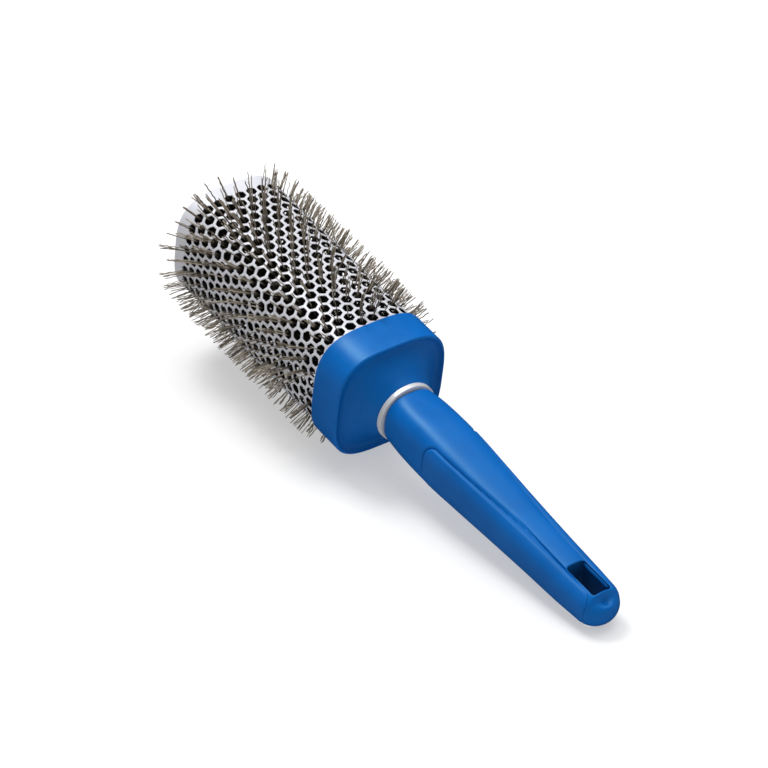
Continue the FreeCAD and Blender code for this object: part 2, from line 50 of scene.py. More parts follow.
# Barrel
BARREL_HALF = 25.7          # half its width across the flats
BARREL_POWER = 3.27         # exponent of its rounded-square section
BARREL_WALL = 1.2
BARREL_START, BARREL_END = 24.0, 130.8
RIM_ROUND = 0.45            # rounding of the barrel's two rims
RIM_MIDDLE, RIM_HOLD = 0.3, 4       # its middle loop, and the loop that keeps the wall straight before it
HOLES, RINGS = 32, 20
RING_START, RING_PITCH = 29.5, 4.87
HOLE_RADIUS = 2.5           # from a hole's centre to its corners
HOLE_STEPS = 3              # points on each edge of a hexagon
HOLE_LIP = 0.09             # rounding of a hole's edge
LIP_WIDE, LIP_DEEP = 0.3, 0.35      # where the rounding's middle loop is, as shares of it
HOLE_WHITE = 0.35           # depth to which the white coat runs into a hole; below it the wall is painted near-black as shade
CORNER_PULL = 0.975         # how far a hexagon's rounded corners draw in
FACING_END = 0.49           # least cosine, along the barrel, of a hexagon's points that face a rim
COATED, SHADE_PAINTED = 0, 1         # the barrel's two materials: the white coat outside, and near-black painted shade inside

# Bristles
TUBE_SIDES = 4
TIP_RADIUS, TIP_SCATTER = 36.9, (-1.3, 0.4)
CORE_RADIUS = 3.4           # where the filaments start, inside the hub
HUB_BORE, HUB_RADIUS = 2.4, 4.4
HUB_CLEAR = 0.02            # half the gap between two hubs
LEAN_NEAR, LEAN_FAR = -4.0, 27.0    # degrees towards the free end, at the collar and at the free end
BUNCH_WANDER, FILAMENT_WANDER = 2.2, 1.7    # scatter of a bunch's and of a filament's lean, in degrees
BUNCH_SIZES, BUNCH_WEIGHTS = (0, 1, 2, 3, 4, 5, 6, 8), (12, 22, 22, 14, 10, 8, 6, 6)
HOLE_SCATTER = 0.7          # how far a filament stands from its hole's centre
ROOT_DEPTH, WALL_CLEAR = 0.4, 0.3   # its pivot below the barrel's face, and the gap in its points there
FILAMENT_RADIUS, FILAMENT_SPREAD = 0.23, (0.85, 1.15)
FILAMENT_TAPER = 0.7        # its tip's radius as a share of its own
FILAMENT_STEP, FILAMENT_LEAST = 0.55, 8     # distance of its points, and their least number
CRIMP, CRIMP_PITCH, CRIMP_SPREAD = 0.13, 2.8, (0.5, 1.25)
WAVE_SCATTER = 0.5          # scatter of the crimp's direction in a bunch, in radians
BOW = 0.007                 # bend over its length
TONES = (0.2, 0.8)
INSIDE_STEPS = 3            # points of a filament inside the barrel
INSIDE_PAINTED_SHADE = -0.1         # and its tone there, a painted shade darker than any filament's own tone
PAINTED_SHADE_LENGTH = 2.2          # length over which its painted shade fades out from its hole
FLOOR_SHARE = 0.3           # how high the lowest tips lie, as a share of a filament's radius
SEED = 7

# Collar and ring
ROUND_POWER = 2.05          # exponent of their nearly round section
SPIGOT_BORE = 8.7
COLLAR_HALF = 26.9
COLLAR_END, COLLAR_EDGE = 26.1, 9.2
COLLAR_MOUTH, MOUTH_ROUND = 0.1, 0.4    # gap round the barrel, and the mouth's rounded edge
COLLAR_ROUND = 0.9
BAND_LOOPS = (5.5, 11.0)    # loops on the straight band, from its mouth
COLLAR_ROOT, ROOT_HALF = -0.4, 13.3
SQUARE_HALF, SQUARE_RATE = 24.5, 1.2    # half width where the section is square, and how it gets there
COLLAR_FACE = [             # x and half width down the dished face
    (COLLAR_EDGE, 25.9), (COLLAR_EDGE + 0.7, 25.3), (10.7, 24.2), (10.9, 22.6), (9.4, 20.0),
    (7.2, 18.0), (4.4, 16.1), (1.8, 14.5), (COLLAR_ROOT, ROOT_HALF),
]
RING_X, RING_WIDTH, RING_RADIUS, RING_ROUND = -1.7, 2.6, 13.6, 0.6

# End cap
CAP_HALF = BARREL_HALF - BARREL_WALL - 0.1
CAP_START, CAP_WALL = 124.6, 2.0
CAP_EDGE, CAP_ROUND = BARREL_END - 1.2, 0.6
CAP_DOME = [                # x and half width from the cap's edge to its middle
    (BARREL_END - 0.6, CAP_HALF - 1.2), (BARREL_END - 1.5, CAP_HALF - 3.0),
    (BARREL_END - 1.6, CAP_HALF - 6.0), (BARREL_END - 0.7, 10.0), (BARREL_END - 0.5, 0.5),
]

# Handle stations: x, half width, height above the axis, depth below it, section exponent
STATIONS = [
    (-3.4, 12.1, 12.1, 12.1, 2.5),
    (-12.0, 12.4, 12.4, 12.4, 3.0),
    (-25.0, 12.8, 12.7, 12.8, 3.05),
    (-36.0, 12.9, 12.4, 12.8, 2.95),
    (-52.0, 12.3, 11.5, 12.2, 2.85),
    (-72.0, 11.5, 10.2, 11.3, 2.7),
    (-95.0, 10.7, 9.0, 10.3, 2.55),
    (-115.0, 10.1, 8.4, 9.8, 2.4),
    (-127.7, 9.5, 8.6, 9.4, 2.25),
]
HANDLE_FRONT = -3.5
HANDLE_STEP = 0.4           # distance of the sections along its straight part
TAIL_X, TAIL_RADIUS = -127.7, 9.4
TAIL_END = TAIL_X - TAIL_RADIUS
SHOULDER_ROUND = 0.8
PANEL_FRONT, PANEL_BACK = -30.5, -131.0
PANEL_FRONT_HALF, PANEL_BACK_HALF = 9.9, 7.5
PANEL_CORNER = 4.5
PANEL_RISE, PANEL_EDGE = 0.14, 0.9      # how far a panel stands proud, and the width of its rounded edge
PANEL_TUCK, TUCK_SLOPE = 0.5, 4.0       # how far it runs in under the groove, and how steeply
PANEL_THICKNESS = 1.3
GROOVE_DEPTH, GROOVE_WIDTH = 0.6, 0.42
GROOVE_FADE = (-131.0, -117.0)          # the groove closes towards the tail
SEAT_DEPTH, SEAT_EDGE = 1.8, 0.35       # the handle's recess under a panel
SPINE_HALF = 5.2            # least half width of the strip between the panels
SLOT_FRONT, SLOT_BACK, SLOT_HALF = -113.0, -130.4, 4.5
SLOT_CORNER, SLOT_ROUND = 1.3, 0.7
ROLL_OFFSET, ROLL_SHARE = 0.15, 0.8     # where the slot's rounded edge starts, and how deep it is
CUTTER_REACH = 20           # half height of the block that cuts the slot
SCOOP_X, SCOOP_DEPTH, SCOOP_HALF = -130.8, 3.8, 5.0     # its steep edge, depth and half width
SCOOP_WALL, SCOOP_TOP, SCOOP_RUNOUT = 2.0, 3.0, 5.0     # over which it fades in x, in z and at the tail
SHARP_ANGLE = 50            # degrees
LEAST_RADIUS = 0.5          # skin points nearer to the axis than this move by a share only

# Joining of points that lie on each other, in metres
WELD_WALL, WELD_SKIN = 0.00003, 1e-7

# Studio, in metres and watts
FLOOR_HALF, FLOOR_TONE, FLOOR_GLOW = 6.0, 0.42, 0.42
WORLD_STRENGTH = 0.6
LAMPS = (("key", (0.66, 0.05, 1.31), 0.5, 15), ("overhead", (0.0, -0.4, 1.9), 1.6, 22))
LAMP_TARGET = (0, 0, 0.03)

# Camera, in the brush's frame: its own right, up and backward directions and what it looks at
VIEW_RIGHT = (-0.57585, -0.81242, 0.09144)
VIEW_UP = (0.57579, -0.32362, 0.75082)
VIEW_BACK = (-0.58040, 0.48501, 0.65414)
VIEW_TARGET = (10.33, 3.08, 6.88)
VIEW_DISTANCE, VIEW_LENS, VIEW_SENSOR = 1478.4, 171.2, 36
VIEW_LIMIT = 50             # metres


# ---------------------------------------------------------------- frame of the brush

def brush_matrix():
    """From the brush's own frame in millimetres to the row's frame in metres."""
    low, high = (Vector(p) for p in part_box("neck_ring"))
    ring = (low + high) / 2
    low = Vector(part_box("handle_body")[0])
    tail = Vector((low.x + TAIL_RADIUS * MM, 0.0, low.z + TAIL_RADIUS * MM))
    along = (ring - tail).normalized()
    side = Vector((0.0, 1.0, 0.0))
    up = along.cross(side)
    origin = ring - along * RING_X * MM
    matrix = Matrix((along * MM, side * MM, up * MM)).transposed().to_4x4()
    matrix.translation = origin
    return matrix


PLACE = brush_matrix()
PLACE_ARRAY = np.array(PLACE)


def to_row(points):
    """Turn points in the brush's frame into points in the row's frame."""
    return points @ PLACE_ARRAY[:3, :3].T + PLACE_ARRAY[:3, 3]


def link(name, data):
    """Put an object into the scene."""
    thing = bpy.data.objects.new(name, data)
    bpy.context.scene.collection.objects.link(thing)
    return thing


def mesh_piece(name, points, faces, materials, face_materials=None):
    """Make a smooth piece from points in the brush's frame, riding on the one body."""
    mesh = bpy.data.meshes.new(name)
    mesh.from_pydata(to_row(np.asarray(points, float)).tolist(), [], faces)
    for material in materials:
        mesh.materials.append(material)
    if face_materials is not None:
        mesh.polygons.foreach_set("material_index", face_materials)
    mesh.polygons.foreach_set("use_smooth", [True] * len(mesh.polygons))
    mesh.update()
    piece = link(name, mesh)
    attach(piece, "root")
    return piece


def weld(piece, distance):
    """Join points that lie on each other and turn every face outwards."""
    work = bmesh.new()
    work.from_mesh(piece.data)
    bmesh.ops.remove_doubles(work, verts=work.verts, dist=distance)
    bmesh.ops.recalc_face_normals(work, faces=work.faces)
    work.to_mesh(piece.data)
    work.free()
    piece.data.update()


def apply_modifiers(piece):
    """Turn the result of a piece's modifiers into its mesh."""
    graph = bpy.context.evaluated_depsgraph_get()
    mesh = bpy.data.meshes.new_from_object(piece.evaluated_get(graph))
    piece.modifiers.clear()
    piece.data = mesh


def grid_faces(rows, columns, first=0):
    """Quads of a grid whose rows are closed loops."""
    faces = []
    for i in range(rows - 1):
        a = first + i * columns
        b = a + columns
        for j in range(columns):
            k = (j + 1) % columns
            faces.append((a + j, a + k, b + k, b + j))
    return faces


def end_faces(rows, columns):
    """Triangles that close a grid's two ends on the two points that follow the grid."""
    first = rows * columns
    base = first - columns
    faces = []
    for j in range(columns):
        k = (j + 1) % columns
        faces.append((first, k, j))
        faces.append((first + 1, base + j, base + k))
    return faces


def arc(cx, cy, radius, start, end, steps):
    """Points on an arc, with its angles in degrees."""
    points = []
    for i in range(steps + 1):
        turn = math.radians(start + (end - start) * i / steps)
        points.append((cx + radius * math.cos(turn), cy + radius * math.sin(turn)))
    return points


# ---------------------------------------------------------------- materials

def new_material(name, colour, roughness, metallic=0.0):
    """A plain material and its shader node."""
    material = bpy.data.materials.new(name)
    material.use_nodes = True
    shader = material.node_tree.nodes["Principled BSDF"]
    shader.inputs["Base Color"].default_value = (*colour, 1.0)
    shader.inputs["Roughness"].default_value = roughness
    shader.inputs["Metallic"].default_value = metallic
    return material, shader


def add_noise(material, scale, detail=4.0):
    """A noise texture fixed to the piece, with its scale in spots per metre."""
    nodes, links = material.node_tree.nodes, material.node_tree.links
    place = nodes.new("ShaderNodeTexCoord")
    noise = nodes.new("ShaderNodeTexNoise")
    noise.inputs["Scale"].default_value = scale
    noise.inputs["Detail"].default_value = detail
    links.new(place.outputs["Object"], noise.inputs["Vector"])
    return noise


def vary_colour(material, shader, dark, light, scale):
    """Let the base colour drift between two values."""
    nodes, links = material.node_tree.nodes, material.node_tree.links
    ramp = nodes.new("ShaderNodeValToRGB")
    ramp.color_ramp.elements[0].position = 0.35
    ramp.color_ramp.elements[0].color = (*dark, 1.0)
    ramp.color_ramp.elements[1].position = 0.65
    ramp.color_ramp.elements[1].color = (*light, 1.0)
    links.new(add_noise(material, scale).outputs["Fac"], ramp.inputs["Fac"])
    links.new(ramp.outputs["Color"], shader.inputs["Base Color"])


def vary_roughness(material, shader, low, high, scale):
    """Let the roughness drift between two values."""
    nodes, links = material.node_tree.nodes, material.node_tree.links
    span = nodes.new("ShaderNodeMapRange")
    span.inputs["To Min"].default_value = low
    span.inputs["To Max"].default_value = high
    links.new(add_noise(material, scale).outputs["Fac"], span.inputs["Value"])
    links.new(span.outputs["Result"], shader.inputs["Roughness"])


def add_grain(material, shader, scale, height, strength):
    """A fine bump, with its height in metres."""
    nodes, links = material.node_tree.nodes, material.node_tree.links
    bump = nodes.new("ShaderNodeBump")
    bump.inputs["Strength"].default_value = strength
    bump.inputs["Distance"].default_value = height
    links.new(add_noise(material, scale, detail=2.0).outputs["Fac"], bump.inputs["Height"])
    links.new(bump.outputs["Normal"], shader.inputs["Normal"])


def moulded_blue(name, dark, light, roughness, grain):
    """Satin blue plastic whose reflections stay blue."""
    material, shader = new_material(name, light, roughness)
    vary_colour(material, shader, dark, light, scale=60.0)
    vary_roughness(material, shader, roughness - 0.04, roughness + 0.06, scale=240.0)
    add_grain(material, shader, scale=2600.0, height=0.00006, strength=grain)
    shader.inputs["Specular IOR Level"].default_value = 0.2
    shader.inputs["Specular Tint"].default_value = (0.5, 1.0, 1.0, 1.0)
    return material


def plain_finish(name, colour, roughness, metallic, spread=0.08, scale=400.0):
    """A simple finish with a little colour drift and grain."""
    material, shader = new_material(name, colour, roughness, metallic)
    dark = tuple(c * (1 - spread) for c in colour)
    vary_colour(material, shader, dark, colour, scale)
    add_grain(material, shader, scale * 6, height=0.00003, strength=0.25)
    return material


def ceramic_white():
    """White ceramic coat, a little uneven in tone and gloss."""
    material, shader = new_material("ceramic_white", (0.52, 0.53, 0.57), 0.4)
    vary_colour(material, shader, (0.505, 0.515, 0.555), (0.54, 0.545, 0.585), scale=90.0)
    vary_roughness(material, shader, 0.28, 0.42, scale=500.0)
    add_grain(material, shader, scale=3200.0, height=0.00004, strength=0.2)
    return material


def bristle_finish():
    """Taupe nylon whose tone differs at random from filament to filament, with painted shade darkening each
    one inside the barrel and near its hole.
    """
    material, shader = new_material("bristle_nylon", (0.26, 0.24, 0.21), 0.5)
    nodes, links = material.node_tree.nodes, material.node_tree.links
    tone_and_painted_shade = nodes.new("ShaderNodeAttribute")
    tone_and_painted_shade.attribute_name = "tone_and_painted_shade"
    ramp = nodes.new("ShaderNodeValToRGB")
    ramp.color_ramp.elements[0].color = (0.012, 0.010, 0.007, 1.0)
    ramp.color_ramp.elements[1].color = (0.44, 0.385, 0.315, 1.0)
    middle = ramp.color_ramp.elements.new(0.35)
    middle.color = (0.098, 0.080, 0.058, 1.0)
    mix = nodes.new("ShaderNodeMath")
    mix.operation = "MULTIPLY_ADD"
    mix.inputs[1].default_value = 0.25
    links.new(add_noise(material, 900.0).outputs["Fac"], mix.inputs[0])
    links.new(tone_and_painted_shade.outputs["Fac"], mix.inputs[2])
    links.new(mix.outputs["Value"], ramp.inputs["Fac"])
    links.new(ramp.outputs["Color"], shader.inputs["Base Color"])
    shader.inputs["Specular IOR Level"].default_value = 0.4
    return material


BLUE = moulded_blue("handle_blue", (0.0006, 0.088, 0.335), (0.001, 0.099, 0.372), 0.36, 0.25)
SOFT_BLUE = moulded_blue("soft_touch_blue", (0.0005, 0.082, 0.318), (0.0008, 0.093, 0.356), 0.46, 0.35)
# a darker blue painted on the slot's walls as shade in the recess; the plastic is the handle's own
SLOT_SHADE_BLUE = moulded_blue("slot_wall_painted_shade_blue", (0.0005, 0.045, 0.16), (0.0008, 0.055, 0.2), 0.5, 0.3)
WHITE = ceramic_white()
# near-black painted shade on the barrel's inner face and the deeper walls of its holes
PAINTED_SHADE_INSIDE = plain_finish("barrel_inside", (0.010, 0.009, 0.007), 0.8, 0.0)
BRIGHT = plain_finish("satin_bright_metal", (0.80, 0.80, 0.81), 0.35, 0.4, spread=0.03)
BRISTLE = bristle_finish()
# black for the plug's own colour, and painted shade on the cap's rows hidden in the barrel
BLACK_AND_SHADE = plain_finish("black_and_painted_shade", (0.02, 0.02, 0.022), 0.55, 0.0)
STEEL = plain_finish("core_wire_steel", (0.50, 0.50, 0.51), 0.35, 1.0)
BRASS = plain_finish("bush_brass", (0.10, 0.075, 0.035), 0.55, 1.0)
ALUMINIUM = plain_finish("ferrule_aluminium", (0.68, 0.69, 0.71), 0.4, 1.0)


# ---------------------------------------------------------------- barrel

def section_loop(half, power, count=1440):
    """Points, outward normals and arc length round a rounded square, from the middle of +Y."""
    angle = np.linspace(0, 2 * math.pi, count + 1)
    c, s = np.cos(angle), np.sin(angle)
    radius = half / (np.abs(c) ** power + np.abs(s) ** power) ** (1 / power)
    y, z = radius * c, radius * s
    ny = np.sign(y) * np.abs(y) ** (power - 1)
    nz = np.sign(z) * np.abs(z) ** (power - 1)
    size = np.hypot(ny, nz)
    run = np.concatenate([[0], np.cumsum(np.hypot(np.diff(y), np.diff(z)))])
    return y, z, ny / size, nz / size, run


LOOP_Y, LOOP_Z, LOOP_NY, LOOP_NZ, LOOP_RUN = section_loop(BARREL_HALF, BARREL_POWER)
GIRTH = LOOP_RUN[-1]
HOLE_PITCH = GIRTH / HOLES


def hole_place(ring, hole):
    """Where a hole's centre lies along the barrel and round it; the first ring is half a hole on."""
    return RING_START + ring * RING_PITCH, (hole + 0.5 * ((ring + 1) % 2)) * HOLE_PITCH


def on_barrel(x, run, depth):
    """A point of the barrel's wall, depth below its outer face."""
    run = np.mod(run, GIRTH)
    ny, nz = np.interp(run, LOOP_RUN, LOOP_NY), np.interp(run, LOOP_RUN, LOOP_NZ)
    y = np.interp(run, LOOP_RUN, LOOP_Y) - ny * depth
    z = np.interp(run, LOOP_RUN, LOOP_Z) - nz * depth
    return np.stack([x, y, z], axis=-1)


def hexagon(size_x, size_run, pull=1.0):
    """Points round a hexagon with vertices along x; pull below 1 draws its corners in."""
    corners = []
    for i in range(6):
        turn = math.radians(60 * i)
        corners.append((size_x * math.cos(turn), size_run * math.sin(turn) / math.sin(math.pi / 3)))
    points = []
    for i in range(6):
        start, end = np.array(corners[i]), np.array(corners[(i + 1) % 6])
        for step in range(HOLE_STEPS):
            point = start + (end - start) * step / HOLE_STEPS
            points.append(point * (pull if step == 0 else 1.0))
    return np.array(points)


def hole_loops(web):
    """Loops of one cell, each with its depth: web, rounded lip, the hole's wall, inner face."""
    across = HOLE_RADIUS * math.sin(math.pi / 3)
    wide = HOLE_LIP * LIP_WIDE
    wall = hexagon(HOLE_RADIUS, across, CORNER_PULL)
    return [
        (web, 0.0),
        (hexagon(HOLE_RADIUS + HOLE_LIP, across + HOLE_LIP, CORNER_PULL), 0.0),
        (hexagon(HOLE_RADIUS + wide, across + wide, CORNER_PULL), HOLE_LIP * LIP_DEEP),
        (wall, HOLE_LIP),
        (wall, HOLE_WHITE),
        (wall, BARREL_WALL),
        (web, BARREL_WALL),
    ]


def rim_loops(web, side):
    """Loops of one rim, each with its depth, from the last ring of holes round the edge and back in."""
    count = len(web)
    end_x, ring = (BARREL_END, RINGS - 1) if side > 0 else (BARREL_START, 0)
    facing = [i for i in range(count) if side * math.cos(2 * math.pi * i / count) > FACING_END]
    order = sorted(facing, key=lambda i: web[i, 1])[:-1]
    edge_x, edge_run = [], []
    for hole in range(HOLES):
        x0, run0 = hole_place(ring, hole)
        for i in order:
            edge_x.append(x0 + web[i, 0])
            edge_run.append(run0 + web[i, 1])
    edge_x = np.array(edge_x)
    flat = np.full(len(edge_x), end_x)
    turn = -side * RIM_ROUND
    rows = [
        (edge_x, 0.0), (flat + turn * RIM_HOLD, 0.0), (flat + turn, 0.0),
        (flat + turn * RIM_MIDDLE, RIM_ROUND * RIM_MIDDLE),
        (flat, RIM_ROUND), (flat, BARREL_WALL), (edge_x, BARREL_WALL),
    ]
    return rows, np.array(edge_run)


def make_barrel():
    """The honeycomb wall, cell by cell, and its two rims."""
    count = 6 * HOLE_STEPS
    web = hexagon(RING_PITCH * 2 / 3, HOLE_PITCH / 2)
    loops = hole_loops(web)
    points, faces, kinds = [], [], []
    total = 0
    for ring in range(RINGS):
        for hole in range(HOLES):
            x0, run0 = hole_place(ring, hole)
            for loop, depth in loops:
                points.append(on_barrel(x0 + loop[:, 0], run0 + loop[:, 1], depth))
            faces.extend(grid_faces(len(loops), count, total))
            # the deeper walls of each hole and the inner face get the painted shade
            kinds.extend([COATED] * (4 * count) + [SHADE_PAINTED] * (2 * count))
            total += count * len(loops)
    for side in (-1, 1):
        rows, edge_run = rim_loops(web, side)
        size = len(edge_run)
        for x, depth in rows:
            points.append(on_barrel(x, edge_run, depth))
        new = grid_faces(len(rows), size, total)
        if side > 0:
            new = [tuple(reversed(face)) for face in new]
        faces.extend(new)
        # the rim's inner face gets the painted shade
        kinds.extend([COATED] * (5 * size) + [SHADE_PAINTED] * size)
        total += size * len(rows)
    piece = mesh_piece("barrel_shell", np.concatenate(points), faces, [WHITE, PAINTED_SHADE_INSIDE], kinds)
    weld(piece, WELD_WALL)
    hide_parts("barrel")


# ---------------------------------------------------------------- bristles

def tube(path, radii):
    """Points of a thin tube along a path, ring after ring."""
    tangent = np.gradient(path, axis=0)
    tangent /= np.linalg.norm(tangent, axis=1)[:, None]
    guide = np.array([1.0, 0.0, 0.0])
    first = np.cross(tangent, guide)
    first /= np.linalg.norm(first, axis=1)[:, None]
    second = np.cross(tangent, first)
    turn = np.arange(TUBE_SIDES) * 2 * math.pi / TUBE_SIDES
    ring = first[:, None, :] * np.cos(turn)[None, :, None] + second[:, None, :] * np.sin(turn)[None, :, None]
    points = path[:, None, :] + ring * radii[:, None, None]
    return points.reshape(-1, 3)


def tube_faces(steps, first):
    """Faces of a tube, closed at both ends."""
    last = first + (steps - 1) * TUBE_SIDES
    faces = grid_faces(steps, TUBE_SIDES, first)
    faces.append(tuple(range(last, last + TUBE_SIDES)))
    faces.append(tuple(reversed(range(first, first + TUBE_SIDES))))
    return faces


def filament(rng, x, run, lean, swing, wave_turn):
    """One crimped filament from the core out through its hole: its path, radii and steps along it."""
    offset_x = rng.uniform(-HOLE_SCATTER, HOLE_SCATTER)
    offset_run = rng.uniform(-HOLE_SCATTER, HOLE_SCATTER)
    base = on_barrel(np.array(x + offset_x), np.array(run + offset_run), ROOT_DEPTH)
    out = np.array([0.0, base[1], base[2]])
    hole_radius = np.linalg.norm(out)
    out /= hole_radius
    around = np.array([0.0, -out[2], out[1]])
    lean_now = math.radians(lean + rng.gauss(0, FILAMENT_WANDER))
    swing_now = math.radians(swing + rng.gauss(0, FILAMENT_WANDER))
    direction = out + math.tan(lean_now) * np.array([1.0, 0, 0]) + math.tan(swing_now) * around
    length = TIP_RADIUS + rng.uniform(*TIP_SCATTER) - hole_radius
    outside = np.linspace(WALL_CLEAR, length, max(FILAMENT_LEAST, int(length / FILAMENT_STEP)))
    inside = np.linspace(-(hole_radius - CORE_RADIUS), -WALL_CLEAR, INSIDE_STEPS)
    steps = np.concatenate([inside, outside])
    path = base + direction * steps[:, None]
    phase = rng.uniform(0, 2 * math.pi)
    amount = CRIMP * rng.uniform(*CRIMP_SPREAD)
    wave = amount * np.sin(2 * math.pi * steps / CRIMP_PITCH + phase)
    wave[steps < 0] = 0
    side = around * math.cos(wave_turn) + np.array([1.0, 0, 0]) * math.sin(wave_turn)
    bow = BOW * rng.gauss(0, 1) * np.maximum(steps, 0) ** 2
    path = path + side * (wave + bow)[:, None]
    radii = np.full(len(steps), FILAMENT_RADIUS * rng.uniform(*FILAMENT_SPREAD))
    radii[-1] *= FILAMENT_TAPER
    return path, radii, steps


def hub(middle, columns=24):
    """Points and faces of the dark sleeve that holds one ring of bunches on the core wires."""
    turn = np.arange(columns) * 2 * math.pi / columns
    half = RING_PITCH / 2 - HUB_CLEAR
    profile = [(-half, HUB_BORE), (-half, HUB_RADIUS), (half, HUB_RADIUS), (half, HUB_BORE)]
    rows = [
        np.stack([np.full(columns, middle + x), radius * np.cos(turn), radius * np.sin(turn)], axis=-1)
        for x, radius in profile
    ]
    faces = grid_faces(len(rows), columns)
    last = (len(rows) - 1) * columns
    for j in range(columns):
        k = (j + 1) % columns
        faces.append((last + j, last + k, k, j))
    return np.concatenate(rows), faces


def lift_off_floor(mesh):
    """Raise the lowest tips' points so that they lie on the floor."""
    low = FILAMENT_RADIUS * MM * FLOOR_SHARE
    for vertex in mesh.vertices:
        if vertex.co.z < low:
            vertex.co.z = low


def bristle_ring(rng, ring):
    """Points, faces and tones, with painted shade, of one ring of bunches and its hub."""
    start, faces = hub(RING_START + ring * RING_PITCH)
    total = len(start)
    points, tones_and_painted_shade = [start], [0.0] * total
    for hole in range(HOLES):
        x, run = hole_place(ring, hole)
        lean = LEAN_NEAR + (LEAN_FAR - LEAN_NEAR) * ring / (RINGS - 1) + rng.gauss(0, BUNCH_WANDER)
        swing = rng.gauss(0, BUNCH_WANDER)
        wave_turn = rng.uniform(0, math.pi)
        for _ in range(rng.choices(BUNCH_SIZES, BUNCH_WEIGHTS)[0]):
            turn = wave_turn + rng.gauss(0, WAVE_SCATTER)
            path, radii, steps = filament(rng, x, run, lean, swing, turn)
            new = tube(path, radii)
            points.append(new)
            faces.extend(tube_faces(len(path), total))
            tone = rng.uniform(*TONES)
            # painted shade: dark inside the barrel, brightening to the filament's own random tone over a
            # short length outside its hole
            share = np.clip(steps / PAINTED_SHADE_LENGTH, 0, 1)
            tone_and_painted_shade = INSIDE_PAINTED_SHADE + (tone - INSIDE_PAINTED_SHADE) * share
            tones_and_painted_shade.extend(np.repeat(tone_and_painted_shade, TUBE_SIDES).tolist())
            total += len(new)
    return np.concatenate(points), faces, tones_and_painted_shade


def make_bristles():
    """One piece for each ring of holes, every filament a crimped tube of its own."""
    rng = random.Random(SEED)
    for ring in range(RINGS):
        points, faces, tones_and_painted_shade = bristle_ring(rng, ring)
        piece = mesh_piece("bristle_ring_%02d" % (ring + 1), points, faces, [BRISTLE])
        lift_off_floor(piece.data)
        attribute = piece.data.attributes.new("tone_and_painted_shade", "FLOAT", "POINT")
        attribute.data.foreach_set("value", tones_and_painted_shade)
        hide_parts("bristle_fan_%02d" % (ring + 1))


# ---------------------------------------------------------------- lathe-like mouldings

def section_points(x, above, below, width, power, angles):
    """Points of one section; above and below are its heights, width is half its width."""
    c, s = np.cos(angles), np.sin(angles)
    height = np.where(s >= 0, above, below)
    radius = 1 / ((np.abs(c) / width) ** power + (np.abs(s) / height) ** power) ** (1 / power)
    return np.stack([np.broadcast_to(x, radius.shape), radius * c, radius * s], axis=-1)


def turned(name, profile, materials, painted_shade_rows=0, columns=256):
    """A closed moulding from rows of (x, half width, section exponent); the first rows may be painted dark
    as shade.
    """
    angles = np.arange(columns) * 2 * math.pi / columns
    rows = [section_points(x, half, half, half, power, angles) for x, half, power in profile]
    faces = grid_faces(len(rows), columns) + end_faces(len(rows), columns)
    ends = np.array([[profile[0][0], 0, 0], [profile[-1][0], 0, 0]])
    kinds = [1 if i < painted_shade_rows * columns else 0 for i in range((len(rows) - 1) * columns)]
    kinds += [1 if painted_shade_rows else 0, 0] * columns
    piece = mesh_piece(name, np.concatenate(rows + [ends]), faces, materials, kinds)
    weld(piece, WELD_SKIN)
    return piece


def spread(points, steps):
    """A smooth line through a few points, as more points."""
    points = np.array(points, float)
    out = []
    count = len(points)
    for i in range(count - 1):
        p0 = points[max(i - 1, 0)]
        p1, p2 = points[i], points[i + 1]
        p3 = points[min(i + 2, count - 1)]
        for step in range(steps):
            t = step / steps
            a = 2 * p1
            b = (p2 - p0) * t
            c = (2 * p0 - 5 * p1 + 4 * p2 - p3) * t * t
            d = (3 * p1 - p0 - 3 * p2 + p3) * t ** 3
            out.append(tuple((a + b + c + d) / 2))
    out.append(tuple(points[-1]))
    return out


def make_collar():
    """Band, rounded edge, dished face and flare, as one moulding."""
    mouth = COLLAR_HALF - MOUTH_ROUND
    profile = [(COLLAR_END, BARREL_HALF + COLLAR_MOUTH), (COLLAR_END, mouth)]
    profile += arc(COLLAR_END - MOUTH_ROUND, mouth, MOUTH_ROUND, 0, 90, steps=4)[1:]
    profile += [(COLLAR_END - back, COLLAR_HALF) for back in BAND_LOOPS]
    profile += arc(COLLAR_EDGE + COLLAR_ROUND, COLLAR_HALF - COLLAR_ROUND, COLLAR_ROUND, 90, 180, steps=10)
    profile += spread(COLLAR_FACE, steps=8)
    profile.append((COLLAR_ROOT, SPIGOT_BORE))
    rows = []
    for x, half in profile:
        share = min(max((half - ROOT_HALF) / (SQUARE_HALF - ROOT_HALF), 0), 1)
        rows.append((x, half, ROUND_POWER + (BARREL_POWER - ROUND_POWER) * share ** SQUARE_RATE))
    piece = turned("collar_moulding", rows, [BLUE])
    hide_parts("barrel_collar")


def make_ring():
    """The bright ring, with rounded edges."""
    x0, x1 = RING_X - RING_WIDTH / 2, RING_X + RING_WIDTH / 2
    profile = [(x1, SPIGOT_BORE)]
    profile += arc(x1 - RING_ROUND, RING_RADIUS - RING_ROUND, RING_ROUND, 0, 90, steps=8)
    profile += arc(x0 + RING_ROUND, RING_RADIUS - RING_ROUND, RING_ROUND, 90, 180, steps=8)
    profile.append((x0, SPIGOT_BORE))
    piece = turned("bright_ring", [(x, half, ROUND_POWER) for x, half in profile], [BRIGHT])
    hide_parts("neck_ring")


